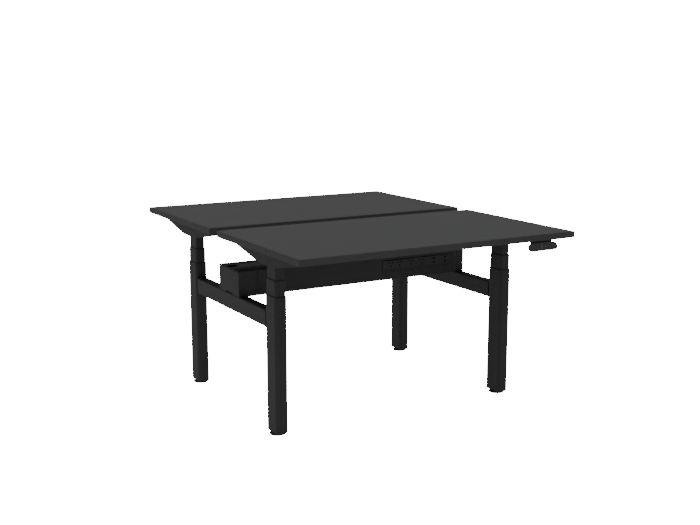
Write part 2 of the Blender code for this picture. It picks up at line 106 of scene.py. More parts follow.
class DeskColours(bpy.types.PropertyGroup):
    laminate: FloatVectorProperty(
        name="Laminate", description="Face of the boards", default=(0.060, 0.060, 0.061), **COLOUR
    )
    band: FloatVectorProperty(
        name="Edge band", description="Plastic band round the boards",
        default=(0.055, 0.055, 0.056), **COLOUR,
    )
    powder: FloatVectorProperty(
        name="Powder coat", description="Columns, collars, crossbars, arms and cable duct",
        default=(0.040, 0.040, 0.0408), **COLOUR,
    )
    plastic: FloatVectorProperty(
        name="Plastic", description="Handsets, feet, motors, control boxes, seals and screws",
        default=(0.036, 0.036, 0.0366), **COLOUR,
    )
    outlet: FloatVectorProperty(
        name="Outlets", description="Outlet housings and faces",
        default=(0.046, 0.046, 0.0468), **COLOUR,
    )
    key: FloatVectorProperty(
        name="Keys", description="Keys of the handsets", default=(0.030, 0.030, 0.031), **COLOUR
    )
    mark: FloatVectorProperty(
        name="Marks", description="Arrows and dots on the keys", default=(0.25, 0.255, 0.26), **COLOUR
    )
    zinc: FloatVectorProperty(
        name="Zinc", description="Plated spindles and levelling studs",
        default=(0.50, 0.51, 0.53), **COLOUR,
    )
    floor: FloatVectorProperty(
        name="Floor", description="Floor of the studio", default=(0.2, 0.2, 0.2), **COLOUR
    )


# ---------------------------------------------------------------- shader arithmetic


class Signal:
    """A shader socket in a Python expression: each operator adds one Math node."""

    def __init__(self, finish, socket):
        self.finish = finish
        self.socket = socket

    def math(self, operation, *terms):
        inputs = dict(enumerate(terms))
        return self.finish.add("ShaderNodeMath", {"operation": operation}, inputs)

    def __add__(self, other):
        return self.math("ADD", self, other)

    def __mul__(self, other):
        return self.math("MULTIPLY", self, other)

    __radd__ = __add__
    __rmul__ = __mul__


class Finish:
    """One node material, built round its Principled shader."""

    def __init__(self, name, **constants):
        self.material = bpy.data.materials.new(name)
        self.material.use_nodes = True
        self.tree = self.material.node_tree
        self.shader = self.tree.nodes["Principled BSDF"]
        for socket, value in constants.items():
            self.shader.inputs[socket.replace("_", " ")].default_value = value
        self.place = self.add("ShaderNodeTexCoord", output="Object")

    def add(self, kind, settings=None, inputs=None, output=0):
        """A node of this type: its settings first, then the values or links of its sockets."""
        node = self.tree.nodes.new(kind)
        for name, value in (settings or {}).items():
            if name == "stops":
                self.set_stops(node.color_ramp, value)
            else:
                setattr(node, name, value)
        for name, value in (inputs or {}).items():
            self.feed(node.inputs[name], value)
        return Signal(self, node.outputs[output])

    def set_stops(self, ramp, stops):
        for element, (position, level) in zip(ramp.elements, stops):
            element.position = position
            element.color = (level, level, level, 1)

    def feed(self, socket, value):
        if isinstance(value, Signal):
            self.tree.links.new(value.socket, socket)
        else:
            socket.default_value = value

    def noise(self, size, detail=2.0, stretch=None):
        """Smooth noise whose features are about this size, stretched along an axis if asked."""
        place = self.place
        if stretch:
            place = self.add("ShaderNodeMapping", None, {"Vector": place, "Scale": stretch})
        inputs = {"Vector": place, "Scale": 1 / size, "Detail": detail}
        return self.add("ShaderNodeTexNoise", None, inputs, output="Fac")

    def grains(self, size):
        """A cell pattern of about this size, from 0 in a cell's middle."""
        inputs = {"Vector": self.place, "Scale": 1 / size}
        return self.add("ShaderNodeTexVoronoi", None, inputs, output="Distance")

    def ramp(self, signal, low, high):
        """The signal spread from low and high to 0 and 1."""
        stops = ((low, 0.0), (high, 1.0))
        return self.add("ShaderNodeValToRGB", {"stops": stops}, {"Fac": signal})

    def mixed(self, factor, first, second):
        """A blend of two colours; a Mix node's colour sockets are numbers 6 and 7, its colour result 2."""
        inputs = {0: factor, 6: first, 7: second}
        return self.add("ShaderNodeMix", {"data_type": "RGBA"}, inputs, output=2)

    def bump(self, height, depth, strength):
        inputs = {"Height": height, "Distance": depth, "Strength": strength}
        self.feed(self.shader.inputs["Normal"], self.add("ShaderNodeBump", None, inputs))

    def wear(self, colour, roughness):
        """Sends what varies over the surface to the shader."""
        self.feed(self.shader.inputs["Base Color"], colour)
        self.feed(self.shader.inputs["Roughness"], roughness)
        return self.material


def shade(colour, share):
    """A colour scaled by a share, with its alpha."""
    return (*(channel * share for channel in colour), 1.0)


def laminate_finish(name, colours):
    """Matt melamine: a fine pearl print, a close pore texture and faint broad clouding."""
    finish = Finish(name, IOR=1.2)
    pores = finish.ramp(finish.grains(0.0016), 0.25, 0.75)
    print_grain = finish.noise(0.0009, 3.0)
    clouds = finish.noise(0.22, 3.0)
    speckled = finish.mixed(print_grain, shade(colours.laminate, 0.84), shade(colours.laminate, 1.16))
    colour = finish.mixed(clouds * 0.5, speckled, shade(colours.laminate, 1.07))
    finish.bump(pores + print_grain * 0.4, 0.00012, 0.35)
    return finish.wear(colour, 0.50 + clouds * 0.08 + pores * 0.06)


def band_finish(name, colours):
    """Extruded edge band: fine lines along its run and a satin skin."""
    finish = Finish(name, IOR=1.12)
    lines = finish.noise(0.0012, 2.0, stretch=(0.04, 0.04, 1.0))
    clouds = finish.noise(0.05, 2.0)
    colour = finish.mixed(clouds, shade(colours.band, 0.93), shade(colours.band, 1.07))
    finish.bump(lines, 0.00008, 0.35)
    return finish.wear(colour, 0.44 + lines * 0.10)


def powder_finish(name, colours):
    """Fine-textured powder coat: a close orange peel with small grains and a few fuller patches."""
    finish = Finish(name, IOR=1.18)
    peel = finish.noise(0.0011, 2.0)
    grains = finish.grains(0.0007)
    clouds = finish.noise(0.09, 3.0)
    colour = finish.mixed(clouds, shade(colours.powder, 0.88), shade(colours.powder, 1.12))
    finish.bump(peel + grains * 0.5, 0.00010, 0.45)
    return finish.wear(colour, 0.48 + peel * 0.12 + clouds * 0.06)


def weld_finish(name, colours):
    """Powder coat over a weld: the ripples of the bead show through it."""
    finish = Finish(name, IOR=1.18)
    ripples = finish.noise(0.0022, 1.0)
    peel = finish.noise(0.0011, 2.0)
    colour = finish.mixed(ripples, shade(colours.powder, 0.85), shade(colours.powder, 1.10))
    finish.bump(ripples + peel * 0.3, 0.0006, 0.7)
    return finish.wear(colour, 0.46 + peel * 0.12)


def plastic_finish(name, colours):
    """Moulded black plastic with a fine spark-eroded grain."""
    finish = Finish(name, IOR=1.25)
    grain = finish.grains(0.0005)
    clouds = finish.noise(0.035, 2.0)
    colour = finish.mixed(clouds, shade(colours.plastic, 0.90), shade(colours.plastic, 1.12))
    finish.bump(grain, 0.00006, 0.40)
    return finish.wear(colour, 0.42 + grain * 0.12 + clouds * 0.06)


def collar_finish(name, colours):
    """The guide collars' plastic, close to the tubes' tone and rubbed where the stages run."""
    finish = Finish(name, IOR=1.18)
    rubbing = finish.noise(0.003, 2.0, stretch=(1.0, 1.0, 0.2))
    colour = finish.mixed(rubbing, shade(colours.powder, 0.85), shade(colours.powder, 1.0))
    finish.bump(rubbing, 0.00005, 0.30)
    return finish.wear(colour, 0.44 + rubbing * 0.14)


def outlet_finish(name, colours):
    """The outlets' harder plastic: smoother than the rest, with faint flow lines."""
    finish = Finish(name, IOR=1.18)
    flow = finish.noise(0.012, 2.0, stretch=(0.3, 1.0, 1.0))
    grain = finish.grains(0.0005)
    colour = finish.mixed(flow, shade(colours.outlet, 0.92), shade(colours.outlet, 1.08))
    finish.bump(grain, 0.00004, 0.30)
    return finish.wear(colour, 0.46 + grain * 0.08 + flow * 0.06)


def foot_finish(name, colours):
    """Tough foot plastic: a dull skin, greyer where it is scuffed near the floor."""
    finish = Finish(name, IOR=1.35)
    scuffs = finish.ramp(finish.noise(0.004, 4.0, stretch=(1.0, 1.0, 4.0)), 0.52, 0.70)
    grain = finish.noise(0.0008, 2.0)
    colour = finish.mixed(scuffs * 0.35, shade(colours.plastic, 1.0), shade(colours.plastic, 2.2))
    finish.bump(grain + scuffs * 0.3, 0.00010, 0.40)
    return finish.wear(colour, 0.55 + grain * 0.12 + scuffs * 0.10)


def housing_finish(name, colours):
    """Sprayed motor housing: a satin black with soft waves in the paint."""
    finish = Finish(name, IOR=1.45)
    waves = finish.noise(0.006, 2.0)
    peel = finish.noise(0.0013, 2.0)
    colour = finish.mixed(waves, shade(colours.plastic, 0.95), shade(colours.plastic, 1.20))
    finish.bump(peel + waves * 0.5, 0.00010, 0.35)
    return finish.wear(colour, 0.34 + peel * 0.10)


def zinc_finish(name, colours):
    """Bright zinc plate: turned rings, a patchy passivation and dull spots."""
    finish = Finish(name, Metallic=1.0)
    rings = finish.noise(0.0006, 2.0, stretch=(0.05, 0.05, 1.0))
    patches = finish.noise(0.009, 3.0)
    colour = finish.mixed(patches, shade(colours.zinc, 0.86), shade(colours.zinc, 1.05))
    finish.bump(rings, 0.00005, 0.35)
    return finish.wear(colour, 0.26 + patches * 0.14 + rings * 0.08)


def bolt_finish(name, colours):
    """Black plated fasteners, lighter in patches."""
    finish = Finish(name, Metallic=0.6)
    patches = finish.noise(0.0015, 3.0)
    colour = finish.mixed(patches, shade(colours.plastic, 0.8), shade(colours.plastic, 1.9))
    finish.bump(patches, 0.00004, 0.30)
    return finish.wear(colour, 0.32 + patches * 0.16)


def key_finish(name, colours):
    """Soft-touch keys: dark grey, polished a little by fingers."""
    finish = Finish(name, IOR=1.4)
    touch = finish.noise(0.005, 2.0)
    grain = finish.grains(0.0004)
    colour = finish.mixed(touch, shade(colours.key, 0.92), shade(colours.key, 1.10))
    finish.bump(grain, 0.00004, 0.35)
    return finish.wear(colour, 0.36 + touch * 0.16)


def glass_finish(name, colours):
    """The display's window: smoked, glossy, with a trace of finger marks."""
    finish = Finish(name, Specular_IOR_Level=0.5, Coat_Weight=0.6, Coat_Roughness=0.05)
    marks = finish.ramp(finish.noise(0.007, 4.0), 0.45, 0.75)
    colour = finish.mixed(marks, shade(colours.plastic, 0.45), shade(colours.plastic, 0.60))
    finish.bump(marks, 0.00001, 0.20)
    return finish.wear(colour, 0.10 + marks * 0.16)


def print_and_highlight_finish(name, colours):
    """Printed marks on the keys, and a painted highlight on the handset: light grey ink with a slightly
    uneven gloss.
    """
    finish = Finish(name, IOR=1.35)
    ink = finish.noise(0.0008, 3.0)
    colour = finish.mixed(ink, shade(colours.mark, 0.92), shade(colours.mark, 1.0))
    finish.bump(ink, 0.00002, 0.30)
    return finish.wear(colour, 0.45 + ink * 0.10)


def rubber_and_shade_finish(name, colours):
    """Near-black soft rubber: the cable slot's trim, and painted shade on the strip under the lid's left
    edge, the blocks in the outlets' slots and the handset mounts.
    """
    finish = Finish(name, IOR=1.25)
    bloom = finish.noise(0.003, 2.0)
    colour = finish.mixed(bloom, shade(colours.plastic, 0.20), shade(colours.plastic, 0.35))
    finish.bump(bloom, 0.00005, 0.30)
    return finish.wear(colour, 0.70 + bloom * 0.12)


def floor_finish(name, colours):
    """A plain floor that glows a little, so that light reaches under the tops, and looks white."""
    brightest = BACKDROP + FLOOR_GLOW
    finish = Finish(name, IOR=1.1, Emission_Strength=brightest)
    clouds = finish.noise(0.8, 3.0)
    colour = finish.mixed(clouds, shade(colours.floor, 0.99), shade(colours.floor, 1.0))
    seen = finish.add("ShaderNodeLightPath", output="Is Camera Ray")
    glow = finish.mixed(seen, shade((1, 1, 1), FLOOR_GLOW / brightest), shade((1, 1, 1), 1.0))
    finish.feed(finish.shader.inputs["Emission Color"], glow)
    return finish.wear(colour, 0.85 + clouds * 0.05)


FINISHES = {
    "laminate": laminate_finish,
    "edge_band": band_finish,
    "powder_coat": powder_finish,
    "coated_weld": weld_finish,
    "black_plastic": plastic_finish,
    "collar_plastic": collar_finish,
    "outlet_plastic": outlet_finish,
    "foot_plastic": foot_finish,
    "motor_housing": housing_finish,
    "zinc_plate": zinc_finish,
    "black_bolt": bolt_finish,
    "key_plastic": key_finish,
    "display_glass": glass_finish,
    "print_and_painted_highlight": print_and_highlight_finish,
    "rubber_and_painted_shade": rubber_and_shade_finish,
    "studio_floor": floor_finish,
}


def finish_named(name):
    """The material of this finish, made the first time that it is asked for. Its name differs from
    those of the CAD's own materials.
    """
    title = f"desk_{name}"
    return bpy.data.materials.get(title) or FINISHES[name](title, bpy.context.scene.desk_colours)


# ---------------------------------------------------------------- modelling by hand


def deselect_all():
    bpy.ops.object.select_all(action="DESELECT")


def make_active(piece):
    deselect_all()
    piece.select_set(True)
    bpy.context.view_layer.objects.active = piece


def settle(name):
    """Names the new primitive and puts its place, turn and size into its mesh."""
    piece = bpy.context.object
    piece.name = name
    piece.data.name = name
    bpy.ops.object.transform_apply(location=True, rotation=True, scale=True)
    return piece


def start_box(name, low, high):
    """A cube primitive between two corners."""
    low, high = Vector(low), Vector(high)
    deselect_all()
    bpy.ops.mesh.primitive_cube_add(size=1, location=(low + high) / 2, scale=high - low)
    return settle(name)


@contextlib.contextmanager
def editing(piece):
    """Edit mode on one piece."""
    make_active(piece)
    bpy.ops.object.mode_set(mode="EDIT")
    yield
    bpy.ops.object.mode_set(mode="OBJECT")


def pick(kind, test):
    """Selects, of the piece in edit mode, only the faces, edges or points that pass the test."""
    bpy.ops.mesh.select_mode(type=kind)
    bpy.ops.mesh.select_all(action="DESELECT")
    mesh = bpy.context.edit_object.data
    shape = bmesh.from_edit_mesh(mesh)
    shape.normal_update()
    items = {"FACE": shape.faces, "EDGE": shape.edges, "VERT": shape.verts}[kind]
    found = [item for item in items if test(item)]
    if not found:
        raise RuntimeError(f"{mesh.name}: nothing to select")
    for item in found:
        item.select_set(True)
    shape.select_flush_mode()
    bmesh.update_edit_mesh(mesh)


def looks(direction):
    """A test for flat faces that face this way."""
    aim = Vector(direction)
    return lambda face: face.normal.dot(aim) > 0.999


def runs(axis):
    """A test for edges along this axis: 0, 1 or 2."""

    def test(edge):
        run = edge.verts[1].co - edge.verts[0].co
        return abs(run[axis]) > 0.999 * run.length

    return test


def lies_at(axis, place):
    """A test for edges or faces that lie all in one plane across an axis."""
    return lambda item: all(abs(vert.co[axis] - place) < 1e-6 for vert in item.verts)


def is_corner(edge):
    return len(edge.link_faces) == 2 and edge.calc_face_angle(0) > math.radians(30)


def round_edges(test, radius, segments=3):
    pick("EDGE", test)
    bpy.ops.mesh.bevel(offset=radius, segments=segments, profile=0.5, affect="EDGES")


def push(offset):
    """Extrudes what is selected by an offset."""
    bpy.ops.mesh.extrude_region_move(TRANSFORM_OT_translate={"value": offset})


def face_outwards():
    bpy.ops.mesh.select_all(action="SELECT")
    bpy.ops.mesh.normals_make_consistent(inside=False)


def bore_through(axis, wall):
    """Hollows the piece in edit mode along an axis, leaving this wall."""
    pick("FACE", lambda face: abs(face.normal[axis]) > 0.999)
    bpy.ops.mesh.inset(thickness=wall, use_individual=True)
    bpy.ops.mesh.delete(type="FACE")
    pick("EDGE", lambda edge: edge.is_boundary)
    bpy.ops.mesh.bridge_edge_loops()
    face_outwards()


def turned(name, rings, segments=48):
    """A round piece about Z: a filled circle, extruded and scaled from ring to ring. Each ring is
    (radius, height), and both ends stay closed.
    """
    radius, height = rings[0]
    deselect_all()
    bpy.ops.mesh.primitive_circle_add(
        vertices=segments, radius=radius, fill_type="NGON", location=(0, 0, height)
    )
    piece = settle(name)
    with editing(piece):
        bpy.ops.mesh.select_all(action="SELECT")
        for next_radius, next_height in rings[1:]:
            push((0, 0, next_height - height))
            share = next_radius / radius
            bpy.ops.transform.resize(value=(share, share, 1), center_override=(0, 0, next_height))
            radius, height = next_radius, next_height
        face_outwards()
    return piece


def apply_modifiers(piece):
    make_active(piece)
    for modifier in list(piece.modifiers):
        bpy.ops.object.modifier_apply(modifier=modifier.name)


def cut(piece, *cutters):
    """Takes closed shapes out of a piece."""
    for cutter in cutters:
        modifier = piece.modifiers.new("cut", "BOOLEAN")
        modifier.operation = "DIFFERENCE"
        modifier.solver = "EXACT"
        modifier.object = cutter
    apply_modifiers(piece)
    for cutter in cutters:
        discard(cutter)


def soften(piece, radius, segments=2):
    """Rounds every corner of a piece a little."""
    modifier = piece.modifiers.new("soften", "BEVEL")
    modifier.width = radius
    modifier.segments = segments
    modifier.limit_method = "ANGLE"
    modifier.angle_limit = math.radians(30)
    apply_modifiers(piece)


def discard(piece):
    bpy.data.objects.remove(piece, do_unlink=True)


def shaded(piece, angle=40):
    """Smooth shading that keeps flat faces flat and sharp corners sharp."""
    make_active(piece)
    bpy.ops.object.shade_smooth_by_angle(angle=math.radians(angle))
    modifier = piece.modifiers.new("even", "WEIGHTED_NORMAL")
    modifier.keep_sharp = True
    apply_modifiers(piece)
    return piece


def put(master, name, place, finish, body, slot, *nodes):
    """A copy of a modelled shape with a mesh of its own, placed in its mesh, on a CAD body."""
    piece = master.copy()
    piece.data = master.data.copy()
    piece.name = name
    piece.data.name = name
    bpy.context.scene.collection.objects.link(piece)
    piece.data.transform(place)
    piece.data.materials.clear()
    piece.data.materials.append(finish_named(finish))
    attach(piece, body)
    if nodes:
        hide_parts(*nodes)
    return piece


def at(*place):
    return Matrix.Translation(Vector(place))


def refined(node, radius):
    """A merged copy of a CAD node, with its corners rounded by this radius."""
    piece = frame["nodes"][node].copy()
    piece.data = piece.data.copy()
    piece.parent = None
    for key in list(piece.keys()):
        del piece[key]
    bpy.context.scene.collection.objects.link(piece)
    with editing(piece):
        bpy.ops.mesh.select_all(action="SELECT")
        bpy.ops.mesh.remove_doubles(threshold=1e-5)
        bpy.ops.mesh.dissolve_limited(angle_limit=math.radians(0.5))
    soften(piece, radius)
    return shaded(piece)


def middle_of(node):
    low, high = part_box(node)
    return (low + high) / 2


def column_at(end, side):
    """The place of a column's axis on the floor."""
    middle = middle_of(f"{end}_{side}_outer_tube")
    return at(middle.x, middle.y, 0)


def own_box(node):
    """A node's corners, measured from its own column's axis or its own middle."""
    low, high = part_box(node)
    middle = (low + high) / 2
    across = Vector((middle.x, middle.y, 0))
    return low - across, high - across


# ---------------------------------------------------------------- tops


class DESK_OT_tops(bpy.types.Operator):
    """Boards with their edge bands"""

    bl_idname = "desk.tops"
    bl_label = "Tops"

    def execute(self, context):
        sizes = context.scene.desk_sizes
        low, high = own_box("front_top")
        band = start_box("edge_band", low, high)
        with editing(band):
            round_edges(is_corner, sizes.arris, segments=4)
            bore_through(2, sizes.band - sizes.arris)
        shaded(band)
        # A hair of clearance and a broken edge leave the fine joint between board and band.
        joint = 0.0001
        inset = Vector((sizes.band + joint, sizes.band + joint, 0))
        board = start_box("board", low + inset, high - inset)
        with editing(board):
            round_edges(is_corner, 2 * joint, segments=1)
        shaded(board)
        for end in ENDS:
            middle = middle_of(f"{end}_top")
            place = at(middle.x, middle.y, 0)
            put(board, f"{end}_board", place, "laminate", f"{end}_desk", "top_laminate", f"{end}_top")
            put(band, f"{end}_edge_band", place, "edge_band", f"{end}_desk", "top_laminate")
        discard(board)
        discard(band)
        return {"FINISHED"}


# ---------------------------------------------------------------- columns


def stage_tube(node, corner, wall, steps):
    """A column stage: a round-cornered tube open at both ends, its mouth lightly broken."""
    low, high = own_box(node)
    tube = start_box(node, low, high)
    with editing(tube):
        round_edges(runs(2), corner, steps)
        bore_through(2, wall)
        round_edges(lies_at(2, high.z), 0.0004, 2)
    return shaded(tube)


def foot_plate(node, tube_corner, steps):
    """The plate welded in the bottom of the outer tube, bored for the levelling stud."""
    low, high = own_box(node)
    inset = Vector((0.0012, 0.0012, 0))
    thickness = 0.004
    plate = start_box("foot_plate", low + inset, Vector((high.x, high.y, low.z + thickness)) - inset)
    with editing(plate):
        round_edges(runs(2), tube_corner - inset.x, steps)
    hole_radius = 0.0054
    hole = turned("stud_hole", [(hole_radius, low.z - thickness), (hole_radius, low.z + 2 * thickness)], 32)
    cut(plate, hole)
    return shaded(plate)


def guide_collar(node, corner, steps):
    """The guide ring on a stage's mouth, with a rounded upper lip."""
    low, high = own_box(node)
    wall, lip = 0.0027, 0.0009
    collar = start_box(node, low, high)
    with editing(collar):
        round_edges(runs(2), corner, steps)
        round_edges(lies_at(2, high.z), lip, 3)
        bore_through(2, wall - lip)
    return shaded(collar)


class DESK_OT_columns(bpy.types.Operator):
    """The three tubes of each lifting column, with their collars and foot plate"""

    bl_idname = "desk.columns"
    bl_label = "Columns"

    def execute(self, context):
        sizes = context.scene.desk_sizes
        steps = sizes.corner_steps
        corner = sizes.tube_corner
        step_in = 0.0025
        tubes = (
            ("outer_tube", "outer_tube_shell", corner, "base"),
            ("middle_tube", "middle_tube_shell", corner - step_in, "stages"),
            ("inner_tube", "inner_tube_shell", corner - 1.8 * step_in, "desk"),
        )
        for node, name, radius, body in tubes:
            tube = stage_tube(f"front_left_{node}", radius, sizes.wall, steps)
            for end, side in COLUMNS:
                rides = body if body == "base" else f"{end}_{body}"
                column = f"{end}_{side}"
                put(
                    tube, f"{column}_{name}", column_at(end, side), "powder_coat", rides,
                    "powder_coat", f"{column}_{node}",
                )
            discard(tube)
        collars = (("outer_collar", corner, "base"), ("middle_collar", corner - step_in, "stages"))
        for node, radius, body in collars:
            collar = guide_collar(f"front_left_{node}", radius, steps)
            for end, side in COLUMNS:
                rides = body if body == "base" else f"{end}_{body}"
                column = f"{end}_{side}"
                put(
                    collar, f"{column}_{node}_ring", column_at(end, side), "collar_plastic", rides,
                    "black_plastic", f"{column}_{node}",
                )
            discard(collar)
        plate = foot_plate("front_left_outer_tube", corner, steps)
        for end, side in COLUMNS:
            put(
                plate, f"{end}_{side}_foot_plate", column_at(end, side), "powder_coat", "base", "powder_coat"
            )
        discard(plate)
        return {"FINISHED"}


# ---------------------------------------------------------------- feet


def foot_pad(radius, height):
    """A round pad with finger flutes round its rim and a dished top."""
    rings = [
        (radius - 0.0012, 0),
        (radius, 0.0012),
        (radius, height - 0.0030),
        (radius - 0.0009, height - 0.0011),
        (radius - 0.0032, height - 0.0002),
        (radius - 0.0060, height),
        (0.0180, height),
        (0.0165, height - 0.0010),
    ]
    facets, facets_per_flute = 96, 4
    pad = turned("foot_pad", rings, facets)

    def is_flute(face):
        upright = abs(face.normal.z) < 0.01
        turn = math.degrees(math.atan2(face.normal.y, face.normal.x)) % 360
        return upright and round(turn * facets / 360 - 0.5) % facets_per_flute == 0

    with editing(pad):
        pick("FACE", is_flute)
        bpy.ops.mesh.inset(thickness=0.0003, depth=-0.0006, use_individual=True)
    return shaded(pad)


def hex_nut(across, bottom, top):
    """The adjusting nut, with its corners chamfered."""
    chamfer = 0.0006
    radius = across / math.sqrt(3)
    rings = [
        (radius - 2 * chamfer, bottom),
        (radius, bottom + chamfer),
        (radius, top - chamfer),
        (radius - 2 * chamfer, top),
    ]
    return shaded(turned("foot_nut", rings, 6), 20)


def threaded_stud(radius, bottom, top, pitch=0.0015):
    """A stud whose thread is modelled ring by ring, with a pointed end."""
    root = radius - 0.6 * pitch
    rings = [(root, bottom)]
    for turn in range(int((top - bottom) / pitch)):
        start = bottom + turn * pitch
        rings += [(radius, start + 0.45 * pitch), (radius, start + 0.55 * pitch), (root, start + pitch)]
    rings.append((root - 0.001, top))
    return shaded(turned("foot_stud", rings, 32), 25)


class DESK_OT_feet(bpy.types.Operator):
    """The levelling feet: pad, nut and threaded stud"""

    bl_idname = "desk.feet"
    bl_label = "Feet"

    def execute(self, context):
        low, high = own_box("front_left_levelling_foot")
        pad_height, sunk, gap = 0.0075, 0.0010, 0.0003
        nut_across, stud_radius = 0.024, 0.005
        tube_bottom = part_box("front_left_outer_tube")[0].z
        pad = foot_pad(high.x, pad_height)
        nut = hex_nut(nut_across, pad_height - sunk, tube_bottom - gap)
        stud = threaded_stud(stud_radius, pad_height - sunk, high.z)
        for end, side in COLUMNS:
            column = f"{end}_{side}"
            body = f"{column}_foot"
            place = column_at(end, side)
            put(
                pad, f"{column}_foot_pad", place, "foot_plastic", body, "foot_plastic",
                f"{column}_levelling_foot",
            )
            put(nut, f"{column}_foot_nut", place, "black_bolt", body, "zinc_steel")
            put(stud, f"{column}_foot_stud", place, "zinc_plate", body, "zinc_steel")
        for master in (pad, nut, stud):
            discard(master)
        return {"FINISHED"}


# ---------------------------------------------------------------- crossbars


class DESK_OT_crossbars(bpy.types.Operator):
    """The tube between the columns at each end, and the welds that hold it"""

    bl_idname = "desk.crossbars"
    bl_label = "Crossbars"

    def execute(self, context):
        sizes = context.scene.desk_sizes
        low, high = own_box("left_crossbar")
        bar = start_box("crossbar", low, high)
        with editing(bar):
            round_edges(runs(1), sizes.crossbar_corner, 5)
        shaded(bar)
        leg = 0.0022
        grow = Vector((leg * 0.6, 0, leg * 0.6))
        near = Vector((high.x, low.y + leg, high.z))
        bead = start_box("weld_bead", low - grow, near + grow)
        with editing(bead):
            round_edges(runs(1), sizes.crossbar_corner + grow.x, 5)
            round_edges(lies_at(1, low.y + leg), leg * 0.55, 3)
        shaded(bead, 60)
        half_turn = Matrix.Rotation(math.pi, 4, "Z")
        for side in SIDES:
            middle = middle_of(f"{side}_crossbar")
            place = at(middle.x, middle.y, 0)
            put(
                bar, f"{side}_crossbar_tube", place, "powder_coat", "base", "powder_coat", f"{side}_crossbar"
            )
            put(bead, f"{side}_front_weld", place, "coated_weld", "base", "powder_coat")
            put(bead, f"{side}_rear_weld", place @ half_turn, "coated_weld", "base", "powder_coat")
        discard(bar)
        discard(bead)
        return {"FINISHED"}


# ---------------------------------------------------------------- cable duct

# The cable slot's corners in the lid.
SLOT_X, SLOT_Y = (-0.5345, -0.4925), (0.0, 0.036)


def button_screw(radius):
    """A low round-headed screw with a hexagon socket, its seat at height 0."""
    height = 0.55 * radius
    rings = [
        (radius, -0.0004),
        (radius, 0.18 * height),
        (0.93 * radius, 0.50 * height),
        (0.76 * radius, 0.80 * height),
        (0.50 * radius, height),
    ]
    screw = turned("screw", rings, 32)
    socket = 0.42 * radius
    key = turned("screw_key", [(socket, 0.25 * height), (socket, 2 * height)], 6)
    cut(screw, key)
    return shaded(screw, 35)


def slot_trim(low, high, lip, height):
    """A soft edge strip round a slot in the lid: low and high are the slot's corners."""
    rim = Vector((lip, lip, 0))
    top = Vector((0, 0, height))
    trim = start_box("slot_trim", low - rim - top, high + rim + top)
    with editing(trim):
        round_edges(runs(2), lip, 4)
        bore_through(2, 1.35 * lip)
        round_edges(is_corner, 0.0005, 3)
    return shaded(trim)


